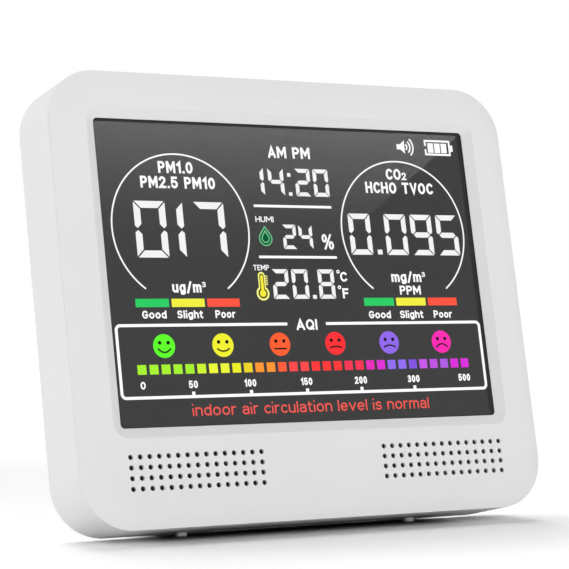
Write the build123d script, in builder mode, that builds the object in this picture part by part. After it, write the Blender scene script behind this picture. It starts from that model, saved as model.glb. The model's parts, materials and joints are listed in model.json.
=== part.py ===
from build123d import *
from math import cos, radians, sin, tan
import os

# Desk air quality monitor, millimetres. The housing is modelled in a leaning frame: x across, y up the
# face, depth behind the front face. The row frame has +Z up, the front towards -Y, the floor at Z = 0.

# ---------------------------------------------------------------- driving dimensions
WIDTH = 157.0  # housing across
HEIGHT = 133.5  # housing along the leaning face
DEPTH = 24.0  # front face to rear face
CORNER = 15.5  # corner radius of the outline
WALL = 2.0
LEAN = radians(12)  # how far the face leans back
SCREEN_HEIGHT_UP = 77.6  # screen centre, on the front face, above the floor
HOUSING_Y = -7.3  # housing centre below the screen centre

SCREEN_W = 128.6  # visible display
SCREEN_H = 90.7
SCREEN_CORNER = 1.3
BEVEL_W = 3.0  # slope around the display
BEVEL_DEPTH = 1.85
BEVEL_CORNER = 4.5
BEVEL_ROUND = 0.45  # softened outer edge of the slope

SEAM = 1.4  # parting line behind the front face
SEAM_GAP = 0.12
PILLOW_W = 6.5  # curved margin of the front face
PANEL = 2.5  # front panel thickness
LIP_INSET = 1.05  # tongue of the front cover inside the rear shell
LIP_DEPTH = 4.0
CLEAR = 0.3  # between pieces that move past each other
BOSS_R = 2.8  # case screw bosses of the front cover
CASE_PILOT_R = 1.25
SMALL_PILOT_R = 1.0  # threads of the small screws
SMALL_HOLE_R = 1.2  # clearance for the small screws
SMALL_SCREW_R = 0.9
SMALL_HEAD_R = 1.8
SMALL_HEAD_H = 1.1
CASE_HEAD_SEAT = 4.4  # case screw heads, sunk behind the rear face
CASE_HEAD_H = 1.7

HOLE_PITCH = 3.0  # grilles
HOLE_RADIUS = 0.76
GRILLE_COLUMNS = 15
GRILLE_ROWS = 4
GRILLE_X = 42.0
GRILLE_Y = -58.2
GRILLE_T = 0.8  # the perforated areas are thinned from behind
GRILLE_W = 44.8
GRILLE_H = 11.8

WINDOW_TOP = 2.2  # depth of each layer of the display stack
WINDOW_T = 0.8
GLASS_TOP = 3.15
GLASS_T = 2.0
DIFFUSER_T = 0.2
GUIDE_T = 2.0
REFLECTOR_T = 0.2
FRAME_T = 1.2
STACK_W = 132.2
STACK_H = 94.2
WINDOW_W = 133.8
WINDOW_H = 96.0
WINDOW_CORNER = 2.0
TAPE_T = 0.15
TAPE_SHOWS = 0.3  # thin dark line of tape round the display

BOARD_TOP = 10.6  # main board
BOARD_T = 1.6

STAND_OPEN = radians(22)  # leg against the rear face when open
STAND_W = 56.0
STAND_T = 3.0
HINGE_Y = 6.0
HINGE_DEPTH = 21.9
KNUCKLE_R = 2.05
PIN_R = 1.0
PIN_L = 10.0
HEEL = 4.0  # stop above the hinge
STAND_CORNER = 8.0
PAD_H = 2.5  # rubber tip of the leg

FOOT_X = 39.5
FOOT_W = 3.2
FOOT_L = 3.0
FOOT_DEPTH = 19.6
FOOT_PEG_R = 1.15

BUTTON_Y = 40.0
BUTTON_X = {"power_button": 24.0, "mode_button": 36.0, "down_button": 48.0, "up_button": 60.0}
BUTTON_R = 3.5
BUTTON_PROUD = 0.8

# ---------------------------------------------------------------- frames worked out from them
pillow_r = (PILLOW_W**2 + SEAM**2) / (2 * SEAM)
bottom_y = HOUSING_Y - HEIGHT / 2
leg_tilt = STAND_OPEN - LEAN
hinge_z = SCREEN_HEIGHT_UP + HINGE_Y * cos(LEAN) - HINGE_DEPTH * sin(LEAN)
hinge_y = HINGE_Y * sin(LEAN) + HINGE_DEPTH * cos(LEAN)
leg_length = hinge_z / cos(leg_tilt)
reach_front = (bottom_y + PILLOW_W) * sin(LEAN) + pillow_r * cos(LEAN) - pillow_r
reach_rear = hinge_y + hinge_z * tan(leg_tilt) + STAND_T / 2 / cos(leg_tilt)
body_y = -(reach_front + reach_rear) / 2

BODY = Plane(origin=(0, body_y, SCREEN_HEIGHT_UP), x_dir=(1, 0, 0), z_dir=(0, -cos(LEAN), sin(LEAN)))
LEG = Plane(
    origin=(0, body_y + hinge_y, hinge_z),
    x_dir=(1, 0, 0),
    z_dir=(0, -cos(leg_tilt), -sin(leg_tilt)),
)
OUT = Axis(BODY.origin, BODY.z_dir)


def depth(d):
    """The plane at depth d behind the front face, x across and y up the face."""
    return BODY.offset(-d)


def across(x):
    """The plane that faces +X at x, its x up the face and its y towards the front."""
    return Plane(origin=BODY.from_local_coords((x, 0, 0)), x_dir=BODY.y_dir, z_dir=(1, 0, 0))


def below(x, y, d):
    """The plane that faces up the face, at x, y and depth d."""
    return Plane(origin=BODY.from_local_coords((x, y, -d)), x_dir=(1, 0, 0), z_dir=BODY.y_dir)


def leg_end(side):
    """The plane that faces +X at one end of the leg's knuckle, centred on the hinge axis."""
    return Plane(
        origin=LEG.from_local_coords((side * STAND_W / 2, 0, 0)), x_dir=LEG.y_dir, z_dir=(1, 0, 0)
    )


def outline(inset=0.0):
    """Rounded outline of the housing, inset on every side."""
    with Locations((0, HOUSING_Y)):
        RectangleRounded(WIDTH - 2 * inset, HEIGHT - 2 * inset, CORNER - inset)


def at(points):
    return Locations(*points)


def save(part, name):
    part.label = name
    export_step(part, f"parts/{name}.step")


os.makedirs("parts", exist_ok=True)

# ---------------------------------------------------------------- places shared by several pieces
case_screw_xy = [(-70, 50.95), (70, 50.95), (-70, -65.55), (70, -65.55)]
frame_ear_xy = [(-71, 30), (71, 30), (-71, -30), (71, -30)]
board_screw_xy = [(-22, 39), (60, 39), (-22, -39), (60, -39)]
sensor_screw_xy = [(-67, -54.5), (-17.5, -54), (-17.5, -68)]
speaker_reach = 27.5  # screws on both sides of the speaker
speaker_screw_xy = [(GRILLE_X - speaker_reach, GRILLE_Y), (GRILLE_X + speaker_reach, GRILLE_Y)]
button_screw_xy = [(16.5, BUTTON_Y), (67.5, BUTTON_Y)]
button_xy = [(x, BUTTON_Y) for x in BUTTON_X.values()]
pm_x = -53.5  # particle sensor
pm_y = 0.5
frame_back = GLASS_TOP + GLASS_T + DIFFUSER_T + GUIDE_T + REFLECTOR_T
frame_end = frame_back + FRAME_T
board_back = BOARD_TOP + BOARD_T
sensor_board_top = 7.5
sensor_board_t = 1.2
button_board_top = 14.9
switch_h = 3.0
plunger_proud = 0.7
rear_inner = DEPTH - WALL
boss_end = 16.9
gasket_t = 0.55
frame_top = PANEL + gasket_t  # speaker frame
basket_h = 4.0
basket_end = frame_top + basket_h + 0.8

# ================================================================ housing
with BuildPart() as front_cover:
    # A larger slab with a big edge radius, cut to the outline, leaves a shallow pillow with a crease.
    spread = pillow_r - PILLOW_W
    with BuildSketch(depth(0)):
        outline(-spread)
    extrude(amount=-pillow_r - 4)
    fillet(front_cover.faces().sort_by(OUT)[-1].edges(), radius=pillow_r)
    with BuildSketch(depth(SEAM)):
        outline()
    extrude(amount=SEAM + 1, mode=Mode.INTERSECT)
    # inner part of the panel and the tongue that enters the rear shell
    with BuildSketch(depth(SEAM)):
        outline(LIP_INSET)
    extrude(amount=-(PANEL - SEAM))
    with BuildSketch(depth(PANEL)):
        outline(LIP_INSET)
        with Locations((0, HOUSING_Y)):
            RectangleRounded(
                WIDTH - 2 * LIP_INSET - 2.2,
                HEIGHT - 2 * LIP_INSET - 2.2,
                CORNER - LIP_INSET - 1.1,
                mode=Mode.SUBTRACT,
            )
    extrude(amount=-(LIP_DEPTH - PANEL))
    # screw bosses, posts for the display frame, the sensor board and the speaker
    with BuildSketch(depth(PANEL)):
        with at(case_screw_xy):
            Circle(BOSS_R)
    extrude(amount=-(boss_end - PANEL))
    with BuildSketch(depth(PANEL)):
        with at(frame_ear_xy):
            Circle(2.3)
    extrude(amount=-(frame_back - PANEL))
    with BuildSketch(depth(PANEL)):
        with at(sensor_screw_xy):
            Circle(2.2)
    extrude(amount=-(sensor_board_top - PANEL))
    with BuildSketch(depth(PANEL)):
        with at(speaker_screw_xy):
            Circle(1.9)
    extrude(amount=-(frame_top + basket_h - PANEL))
    # bevelled display opening
    with BuildSketch(depth(BEVEL_DEPTH)):
        RectangleRounded(SCREEN_W, SCREEN_H, SCREEN_CORNER)
    with BuildSketch(depth(0)):
        RectangleRounded(SCREEN_W + 2 * BEVEL_W, SCREEN_H + 2 * BEVEL_W, BEVEL_CORNER)
    loft(ruled=True, mode=Mode.SUBTRACT)
    bevel_edges = front_cover.edges().filter_by_position(OUT, -0.001, 0.001)
    fillet(bevel_edges.sort_by_distance(BODY.origin)[:8], radius=BEVEL_ROUND)
    with BuildSketch(depth(BEVEL_DEPTH)):
        RectangleRounded(SCREEN_W, SCREEN_H, SCREEN_CORNER)
    extrude(amount=-(PANEL - BEVEL_DEPTH), mode=Mode.SUBTRACT)
    # pocket for the window and its tape
    with BuildSketch(depth(PANEL)):
        RectangleRounded(WINDOW_W + 0.4, WINDOW_H + 0.4, WINDOW_CORNER + 0.2)
    extrude(amount=PANEL - WINDOW_TOP + TAPE_T, mode=Mode.SUBTRACT)
    # grilles
    with BuildSketch(depth(0)):
        with Locations((-GRILLE_X, GRILLE_Y), (GRILLE_X, GRILLE_Y)):
            with GridLocations(HOLE_PITCH, HOLE_PITCH, GRILLE_COLUMNS, GRILLE_ROWS):
                Circle(HOLE_RADIUS)
    extrude(amount=-PANEL, mode=Mode.SUBTRACT)
    with BuildSketch(depth(PANEL)):
        with Locations((-GRILLE_X, GRILLE_Y), (GRILLE_X, GRILLE_Y)):
            RectangleRounded(GRILLE_W, GRILLE_H, 1.2)
    extrude(amount=PANEL - GRILLE_T, mode=Mode.SUBTRACT)
    # pilot holes, drilled from behind
    with BuildSketch(depth(boss_end)):
        with at(case_screw_xy):
            Circle(CASE_PILOT_R)
    extrude(amount=10, mode=Mode.SUBTRACT)
    with BuildSketch(depth(frame_back)):
        with at(frame_ear_xy):
            Circle(SMALL_PILOT_R)
    extrude(amount=4.4, mode=Mode.SUBTRACT)
    with BuildSketch(depth(sensor_board_top)):
        with at(sensor_screw_xy):
            Circle(SMALL_PILOT_R)
    extrude(amount=4.4, mode=Mode.SUBTRACT)
    with BuildSketch(depth(frame_top + basket_h)):
        with at(speaker_screw_xy):
            Circle(SMALL_PILOT_R)
    extrude(amount=4.0, mode=Mode.SUBTRACT)
save(front_cover.part, "front_cover")

recess_depth = HINGE_DEPTH - STAND_T / 2 - CLEAR  # floor of the leg's recess
pocket_depth = HINGE_DEPTH - 3.2  # deeper floor under the hinge, where the heel stops
recess_x = STAND_W / 2 + 0.5
hinge_block_x = recess_x + 5.0
pocket_top = HINGE_Y + HEEL + 1.2
vent_pitch = 4.2
usb_y = -20.0
usb_depth = board_back + 1.6
usb_w = 8.94
usb_h = 3.2

with BuildPart() as rear_cover:
    with BuildSketch(depth(SEAM + SEAM_GAP)):
        outline()
    extrude(amount=-(DEPTH - SEAM - SEAM_GAP))
    fillet(rear_cover.faces().sort_by(OUT)[0].edges(), radius=2.0)
    with BuildSketch(depth(SEAM + SEAM_GAP)):
        outline(WALL)
    extrude(amount=-(rear_inner - SEAM - SEAM_GAP), mode=Mode.SUBTRACT)
    # groove that takes the front cover's tongue
    with BuildSketch(depth(SEAM + SEAM_GAP)):
        outline(LIP_INSET - 0.08)
        with Locations((0, HOUSING_Y)):
            RectangleRounded(
                WIDTH - 2 * WALL,
                HEIGHT - 2 * WALL,
                CORNER - WALL,
                mode=Mode.SUBTRACT,
            )
    extrude(amount=-(LIP_DEPTH - SEAM), mode=Mode.SUBTRACT)
    # walls behind the leg's recess and around its hinge
    with BuildSketch(depth(rear_inner)):
        with Locations((0, bottom_y + 1)):
            Rectangle(2 * recess_x + 4, pocket_top + 1 - bottom_y, align=(Align.CENTER, Align.MIN))
    extrude(amount=rear_inner - recess_depth + 1.8)
    with BuildSketch(depth(rear_inner)):
        with Locations((0, HINGE_Y)):
            Rectangle(2 * hinge_block_x, 2 * (pocket_top + 2 - HINGE_Y))
    extrude(amount=rear_inner - pocket_depth + 1.7)
    # screw columns and the posts of the button board
    with BuildSketch(depth(rear_inner)):
        with at(case_screw_xy):
            Circle(3.2)
    extrude(amount=rear_inner - boss_end - 0.1)
    with BuildSketch(depth(rear_inner)):
        with at(button_screw_xy):
            Circle(2.3)
    extrude(amount=rear_inner - button_board_top - BOARD_T)
    # recess for the folded leg, open at the bottom, and the deeper pocket of its hinge
    with BuildSketch(depth(DEPTH)):
        with Locations((0, bottom_y - 5)):
            Rectangle(2 * recess_x, pocket_top - bottom_y + 5, align=(Align.CENTER, Align.MIN))
    extrude(amount=DEPTH - recess_depth, mode=Mode.SUBTRACT)
    with BuildSketch(depth(DEPTH)):
        with Locations((0, pocket_top)):
            Rectangle(2 * recess_x, pocket_top - HINGE_Y + 3.5, align=(Align.CENTER, Align.MAX))
    extrude(amount=DEPTH - pocket_depth, mode=Mode.SUBTRACT)
    # hinge bores, reached from inside the case
    with BuildSketch(across(-hinge_block_x)):
        with Locations((HINGE_Y, -HINGE_DEPTH)):
            Circle(PIN_R + 0.02)
    extrude(amount=2 * hinge_block_x, mode=Mode.SUBTRACT)
    # holes of the case screws, sunk from behind
    with BuildSketch(depth(DEPTH)):
        with at(case_screw_xy):
            Circle(2.7)
    extrude(amount=CASE_HEAD_SEAT, mode=Mode.SUBTRACT)
    with BuildSketch(depth(DEPTH)):
        with at(case_screw_xy):
            Circle(1.45)
    extrude(amount=8, mode=Mode.SUBTRACT)
    with BuildSketch(depth(button_board_top + BOARD_T)):
        with at(button_screw_xy):
            Circle(SMALL_PILOT_R)
    extrude(amount=-4.0, mode=Mode.SUBTRACT)
    # button holes
    with BuildSketch(depth(DEPTH)):
        with at(button_xy):
            Circle(BUTTON_R + CLEAR)
    extrude(amount=WALL, mode=Mode.SUBTRACT)
    # vents over the particle sensor and behind the gas sensors
    with BuildSketch(depth(DEPTH)):
        with Locations((pm_x, pm_y)):
            with GridLocations(0, vent_pitch, 1, 11):
                SlotOverall(30, 1.9)
        with Locations((-47, -58), (47, -58)):
            with GridLocations(0, vent_pitch, 1, 4):
                SlotOverall(26, 1.9)
    extrude(amount=WALL, mode=Mode.SUBTRACT)
    # charging inlet in the right wall
    with BuildSketch(across(WIDTH / 2)):
        with Locations((usb_y, -usb_depth)):
            SlotOverall(usb_w + 0.5, usb_h + 0.5)
    extrude(amount=-WALL - 0.5, mode=Mode.SUBTRACT)
    # peg holes of the feet
    with BuildSketch(below(0, bottom_y, FOOT_DEPTH)):
        with Locations((-FOOT_X, 0), (FOOT_X, 0)):
            Circle(FOOT_PEG_R + 0.05)
    extrude(amount=1.2, mode=Mode.SUBTRACT)
save(rear_cover.part, "rear_cover")

for side, x in (("left", -FOOT_X), ("right", FOOT_X)):
    with BuildPart() as foot:
        # its underside is level with the floor while the housing leans
        with BuildSketch(below(x, bottom_y, FOOT_DEPTH)):
            RectangleRounded(FOOT_W, FOOT_L, 1.2)
        extrude(amount=-6)
        split(bisect_by=Plane.XY, keep=Keep.TOP)
        with BuildSketch(below(x, bottom_y, FOOT_DEPTH)):
            Circle(FOOT_PEG_R)
        extrude(amount=1.15)
    save(foot.part, f"bottom_foot_{side}")

with BuildPart() as case_screws:
    with BuildSketch(depth(DEPTH - CASE_HEAD_SEAT)):
        with at(case_screw_xy):
            Circle(2.3)
    extrude(amount=-CASE_HEAD_H)
    fillet(case_screws.faces().group_by(OUT)[0].edges(), radius=0.6)
    with BuildSketch(depth(DEPTH - CASE_HEAD_SEAT)):
        with at(case_screw_xy):
            Circle(1.2)
    extrude(amount=9)
    with BuildSketch(depth(DEPTH - CASE_HEAD_SEAT + CASE_HEAD_H)):
        with at(case_screw_xy):
            Rectangle(2.4, 0.5)
            Rectangle(0.5, 2.4)
    extrude(amount=0.9, mode=Mode.SUBTRACT)
save(case_screws.part, "case_screws")

# ================================================================ display
with BuildPart() as display_window:
    with BuildSketch(depth(WINDOW_TOP)):
        RectangleRounded(WINDOW_W, WINDOW_H, WINDOW_CORNER)
    extrude(amount=-WINDOW_T)
save(display_window.part, "display_window")

with BuildPart() as window_tape:
    with BuildSketch(depth(WINDOW_TOP)):
        RectangleRounded(WINDOW_W, WINDOW_H, WINDOW_CORNER)
        RectangleRounded(SCREEN_W - 2 * TAPE_SHOWS, SCREEN_H - 2 * TAPE_SHOWS, 1.0, mode=Mode.SUBTRACT)
    extrude(amount=TAPE_T)
save(window_tape.part, "window_tape")

with BuildPart() as lcd_glass:
    with BuildSketch(depth(GLASS_TOP)):
        Rectangle(STACK_W, STACK_H)
    extrude(amount=-GLASS_T)
    # contact ledge along the bottom, where the rear glass is shorter
    with BuildSketch(depth(GLASS_TOP + GLASS_T)):
        with Locations((0, -STACK_H / 2)):
            Rectangle(STACK_W, 2.4, align=(Align.CENTER, Align.MIN))
    extrude(amount=GLASS_T / 2, mode=Mode.SUBTRACT)
save(lcd_glass.part, "lcd_glass")

with BuildPart() as backlight_diffuser:
    with BuildSketch(depth(GLASS_TOP + GLASS_T)):
        with Locations((0, 1.2)):
            Rectangle(STACK_W, STACK_H - 2.4)
    extrude(amount=-DIFFUSER_T)
save(backlight_diffuser.part, "backlight_diffuser")

guide_top = GLASS_TOP + GLASS_T + DIFFUSER_T
with BuildPart() as light_guide:
    with BuildSketch(depth(guide_top)):
        with Locations((0, 1.6)):
            Rectangle(STACK_W, STACK_H - 3.2)
    extrude(amount=-GUIDE_T)
save(light_guide.part, "light_guide")

with BuildPart() as backlight_reflector:
    with BuildSketch(depth(guide_top + GUIDE_T)):
        with Locations((0, 1.2)):
            Rectangle(STACK_W, STACK_H - 2.4)
    extrude(amount=-REFLECTOR_T)
save(backlight_reflector.part, "backlight_reflector")

with BuildPart() as backlight_led_strip:
    # narrow board on edge below the light guide, its lamps facing up into it
    with BuildSketch(depth(guide_top + 0.1)):
        with Locations((0, -STACK_H / 2 + 0.3)):
            Rectangle(STACK_W - 4, 0.8, align=(Align.CENTER, Align.MIN))
    extrude(amount=-1.8)
    with BuildSketch(depth(guide_top + 0.3)):
        with Locations((0, -STACK_H / 2 + 2.05)):
            with GridLocations(14, 0, 9, 1):
                Rectangle(3.0, 1.9)
    extrude(amount=-1.4)
save(backlight_led_strip.part, "backlight_led_strip")

frame_w = STACK_W + 2.6
frame_h = STACK_H + 2.6
ribbon_w = 24.0
with BuildPart() as lcd_frame:
    with BuildSketch(depth(GLASS_TOP)):
        RectangleRounded(frame_w, frame_h, 1.5)
        Rectangle(STACK_W + 0.2, STACK_H + 0.2, mode=Mode.SUBTRACT)
    extrude(amount=-(frame_back - GLASS_TOP))
    # back of the tray, with openings that save weight
    with BuildSketch(depth(frame_back)):
        RectangleRounded(frame_w, frame_h, 1.5)
        with GridLocations(42, 0, 3, 1):
            RectangleRounded(34, 78, 4, mode=Mode.SUBTRACT)
    extrude(amount=-FRAME_T)
    # ears that screw to the front cover, standoffs for the main board
    with BuildSketch(depth(frame_back)):
        with at(frame_ear_xy):
            Circle(2.5)
            Rectangle(8.4, 4)
    extrude(amount=-FRAME_T)
    with BuildSketch(depth(frame_back)):
        with at(frame_ear_xy):
            Circle(1.1)
    extrude(amount=-FRAME_T, mode=Mode.SUBTRACT)
    with BuildSketch(depth(frame_end)):
        with at(board_screw_xy):
            Circle(2.2)
    extrude(amount=-(BOARD_TOP - frame_end))
    with BuildSketch(depth(frame_back)):
        with at(board_screw_xy):
            Circle(SMALL_PILOT_R)
    extrude(amount=-(BOARD_TOP - frame_back), mode=Mode.SUBTRACT)
    # slot for the ribbon in the bottom rail
    with BuildSketch(depth(GLASS_TOP)):
        with Locations((0, -frame_h / 2)):
            Rectangle(ribbon_w + 2, 3, align=(Align.CENTER, Align.MIN))
    extrude(amount=-(frame_end - GLASS_TOP), mode=Mode.SUBTRACT)
save(lcd_frame.part, "lcd_frame")

with BuildPart() as lcd_ribbon:
    # from the contact ledge of the glass, round below the frame, to the back of the main board
    ribbon_start = GLASS_TOP + GLASS_T / 2 + 0.15
    ribbon_end = board_back + 0.6
    with BuildSketch(across(-ribbon_w / 2)):
        with BuildLine() as ribbon_line:
            FilletPolyline(
                (-46.0, -ribbon_start),
                (-50.2, -ribbon_start),
                (-50.2, -ribbon_end),
                (-43.0, -ribbon_end),
                radius=2.2,
            )
        trace(line_width=0.16)
    extrude(amount=ribbon_w)
save(lcd_ribbon.part, "lcd_ribbon")

# ================================================================ electronics
usb_tab_x = 76.0
with BuildPart() as main_board:
    with BuildSketch(depth(BOARD_TOP)):
        with Locations((19.5, 0)):
            RectangleRounded(93, 88, 2)
        with Locations((66, usb_y)):
            Rectangle(usb_tab_x - 66 - 4, 16, align=(Align.MIN, Align.CENTER))
        with at(board_screw_xy):
            Circle(SMALL_HOLE_R, mode=Mode.SUBTRACT)
    extrude(amount=-BOARD_T)
save(main_board.part, "main_board")

chips = {  # x, y, width, height, thickness
    "controller": (6, 26, 14, 14, 1.4),
    "flash": (24, 30, 6, 5, 1.3),
    "display_driver": (6, 8.5, 12, 9, 1.4),
    "charger": (52, -14, 5, 5, 0.9),
    "coil": (52, -26, 7, 7, 3.2),
    "regulator": (42, -20, 4, 3, 1.2),
    "clock": (24, 20, 5, 3.2, 1.1),
    "audio": (52, 8, 5, 4, 1.1),
}
with BuildPart() as board_chips:
    for x, y, w, h, t in chips.values():
        with BuildSketch(depth(board_back)):
            with Locations((x, y)):
                Rectangle(w, h)
        extrude(amount=-t)
save(board_chips.part, "board_chips")

connectors = [(-21, 14, 5, 90), (-21, 28, 4, 90), (36, -38, 2, 0), (44, -38, 2, 0), (36, 29, 4, 0)]
with BuildPart() as board_connectors:
    for x, y, pins, turn in connectors:
        with BuildSketch(depth(board_back)):
            with Locations((x, y)):
                Rectangle(2.0 * pins, 4.5, rotation=turn)
        extrude(amount=-4.2)
    # flip-lock socket of the display ribbon
    with BuildSketch(depth(board_back + 0.75)):
        with Locations((0, -40.5)):
            Rectangle(ribbon_w + 3, 4)
    extrude(amount=-0.9)
save(board_connectors.part, "board_connectors")

socket_end = WIDTH / 2 - 1.0
with BuildPart() as usb_c_shell:
    with BuildSketch(across(socket_end)):
        with Locations((usb_y, -usb_depth)):
            SlotOverall(usb_w, usb_h)
            SlotOverall(usb_w - 0.6, usb_h - 0.6, mode=Mode.SUBTRACT)
    extrude(amount=-7.35)
    with BuildSketch(across(socket_end - 7.35)):
        with Locations((usb_y, -usb_depth)):
            SlotOverall(usb_w, usb_h)
    extrude(amount=-0.3)
save(usb_c_shell.part, "usb_c_shell")

with BuildPart() as usb_c_tongue:
    with BuildSketch(across(socket_end - 7.35)):
        with Locations((usb_y, -usb_depth)):
            Rectangle(6.7, 1.6)
    extrude(amount=1.5)
    with BuildSketch(across(socket_end - 5.85)):
        with Locations((usb_y, -usb_depth)):
            Rectangle(6.7, 0.7)
    extrude(amount=4.9)
save(usb_c_tongue.part, "usb_c_tongue")

battery_y = -19.0
with BuildPart() as battery_tape:
    with BuildSketch(depth(board_back)):
        with Locations((0, battery_y)):
            Rectangle(48, 28)
    extrude(amount=-0.2)
save(battery_tape.part, "battery_tape")

with BuildPart() as battery_pack:
    with BuildSketch(depth(board_back + 0.2)):
        with Locations((0, battery_y)):
            RectangleRounded(54, 34, 1.2)
    extrude(amount=-5.2)
    fillet(battery_pack.edges().filter_by(Axis.X), radius=1.2)
    # folded tab that carries the protection circuit
    with BuildSketch(depth(board_back + 1.4)):
        with Locations((0, battery_y + 17)):
            Rectangle(40, 3, align=(Align.CENTER, Align.MIN))
    extrude(amount=-2.4)
save(battery_pack.part, "battery_pack")

# ================================================================ buttons
switch_top = button_board_top + BOARD_T
plunger_top = switch_top + switch_h + plunger_proud
flange_depth = rear_inner - CLEAR
with BuildPart() as button_board:
    with BuildSketch(depth(button_board_top)):
        with Locations((42, BUTTON_Y)):
            RectangleRounded(57, 13, 1.5)
        with at(button_screw_xy):
            Circle(SMALL_HOLE_R, mode=Mode.SUBTRACT)
    extrude(amount=-BOARD_T)
save(button_board.part, "button_board")

with BuildPart() as tact_switches:
    with BuildSketch(depth(switch_top)):
        with at(button_xy):
            RectangleRounded(6, 6, 0.5)
    extrude(amount=-switch_h)
    with BuildSketch(depth(switch_top + switch_h)):
        with at(button_xy):
            Circle(2.0)
    extrude(amount=switch_h - 0.3, mode=Mode.SUBTRACT)
save(tact_switches.part, "tact_switches")

for button, x in BUTTON_X.items():
    with BuildPart() as plunger:
        with BuildSketch(depth(switch_top + 1.1)):
            with Locations((x, BUTTON_Y)):
                Circle(1.7)
        extrude(amount=-(plunger_top - switch_top - 1.1))
    save(plunger.part, button.replace("button", "switch_plunger"))

    with BuildPart() as cap:
        with BuildSketch(depth(plunger_top)):
            with Locations((x, BUTTON_Y)):
                Circle(2.0)
        extrude(amount=-0.6)
        with BuildSketch(depth(flange_depth - 0.9)):
            with Locations((x, BUTTON_Y)):
                Circle(BUTTON_R + 1.2)
        extrude(amount=-0.9)
        with BuildSketch(depth(flange_depth)):
            with Locations((x, BUTTON_Y)):
                Circle(BUTTON_R)
        extrude(amount=-(DEPTH + BUTTON_PROUD - flange_depth))
        fillet(cap.faces().sort_by(OUT)[0].edges(), radius=0.5)
    save(cap.part, button)

# ================================================================ gas, climate and particle sensors
sensor_board_back = sensor_board_top + sensor_board_t
with BuildPart() as sensor_board:
    with BuildSketch(depth(sensor_board_top)):
        with Locations((-42, -61)):
            RectangleRounded(54, 18.5, 1.5)
        with at(sensor_screw_xy):
            Circle(SMALL_HOLE_R, mode=Mode.SUBTRACT)
        with at(case_screw_xy):
            Circle(3.4, mode=Mode.SUBTRACT)
    extrude(amount=-sensor_board_t)
save(sensor_board.part, "sensor_board")

with BuildPart() as formaldehyde_sensor:
    with BuildSketch(depth(sensor_board_top)):
        with Locations((-55, -60.5)):
            Circle(6.2)
    extrude(amount=3.8)
    with BuildSketch(depth(sensor_board_top - 3.8)):
        with Locations((-55, -60.5)):
            Circle(2.2)
    extrude(amount=-0.6, mode=Mode.SUBTRACT)
save(formaldehyde_sensor.part, "formaldehyde_sensor")

with BuildPart() as voc_sensor:
    with BuildSketch(depth(sensor_board_top)):
        with Locations((-40, -60.5)):
            Circle(4.6)
    extrude(amount=0.6)
    with BuildSketch(depth(sensor_board_top - 0.6)):
        with Locations((-40, -60.5)):
            Circle(4.1)
    extrude(amount=3.0)
    fillet(voc_sensor.faces().sort_by(OUT)[-1].edges(), radius=0.5)
save(voc_sensor.part, "voc_sensor")

with BuildPart() as temp_humidity_sensor:
    with BuildSketch(depth(sensor_board_top)):
        with Locations((-27, -60.5)):
            Rectangle(3, 3)
    extrude(amount=1.1)
    with BuildSketch(depth(sensor_board_top - 1.1)):
        with Locations((-27, -60.5)):
            Circle(0.7)
    extrude(amount=-0.4, mode=Mode.SUBTRACT)
save(temp_humidity_sensor.part, "temp_humidity_sensor")

with BuildPart() as co2_sensor:
    with BuildSketch(depth(sensor_board_back)):
        with Locations((-44, -61)):
            Rectangle(33, 17)
    extrude(amount=-8.5)
    fillet(co2_sensor.edges().filter_by(OUT), radius=1.5)
    with BuildSketch(depth(sensor_board_back + 8.5)):
        with Locations((-44, -61)):
            RectangleRounded(24, 7, 2)
    extrude(amount=-0.5)
save(co2_sensor.part, "co2_sensor")

pm_w = 37.0
pm_h = 48.0
pm_top = 9.8
pm_end = 21.4
lid_t = 0.6
fan_y = pm_y + 12.0
fan_disc_r = 7.7
fan_hub_r = 3.4
with BuildPart() as pm_sensor_case:
    with BuildSketch(depth(pm_top)):
        with Locations((pm_x, pm_y)):
            RectangleRounded(pm_w, pm_h, 1.0)
    extrude(amount=-(pm_end - lid_t - pm_top))
    with BuildSketch(depth(pm_end - lid_t)):
        with Locations((pm_x, pm_y)):
            Rectangle(pm_w - 2.4, pm_h - 2.4)
    extrude(amount=pm_end - lid_t - pm_top - 1.0, mode=Mode.SUBTRACT)
    # wall between the optical chamber and the fan chamber
    with BuildSketch(depth(pm_top + 1.0)):
        with Locations((pm_x + 4, pm_y - 0.5)):
            Rectangle(pm_w - 10.4, 1.0)
    extrude(amount=-(pm_end - lid_t - pm_top - 1.0))
save(pm_sensor_case.part, "pm_sensor_case")

pm_board_top = pm_top + 1.0
pm_board_back = pm_board_top + 1.0
with BuildPart() as pm_sensor_board:
    with BuildSketch(depth(pm_board_top)):
        with Locations((pm_x, pm_y - 12.8)):
            Rectangle(pm_w - 3, 19.5)
    extrude(amount=-1.0)
save(pm_sensor_board.part, "pm_sensor_board")

with BuildPart() as pm_laser_module:
    with BuildSketch(depth(pm_board_back)):
        with Locations((pm_x - 9, pm_y - 13)):
            Rectangle(10, 8)
        with Locations((pm_x + 6, pm_y - 13)):
            Rectangle(12, 10)
        with Locations((pm_x - 2, pm_y - 13)):
            Rectangle(6, 4)
    extrude(amount=-6)
save(pm_laser_module.part, "pm_laser_module")

with BuildPart() as pm_fan_shaft:
    with BuildSketch(depth(pm_board_top)):
        with Locations((pm_x, fan_y)):
            Circle(3.0)
    extrude(amount=-1.2)
    with BuildSketch(depth(pm_board_top + 1.2)):
        with Locations((pm_x, fan_y)):
            Circle(0.6)
    extrude(amount=-7.0)
save(pm_fan_shaft.part, "pm_fan_shaft")

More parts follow.
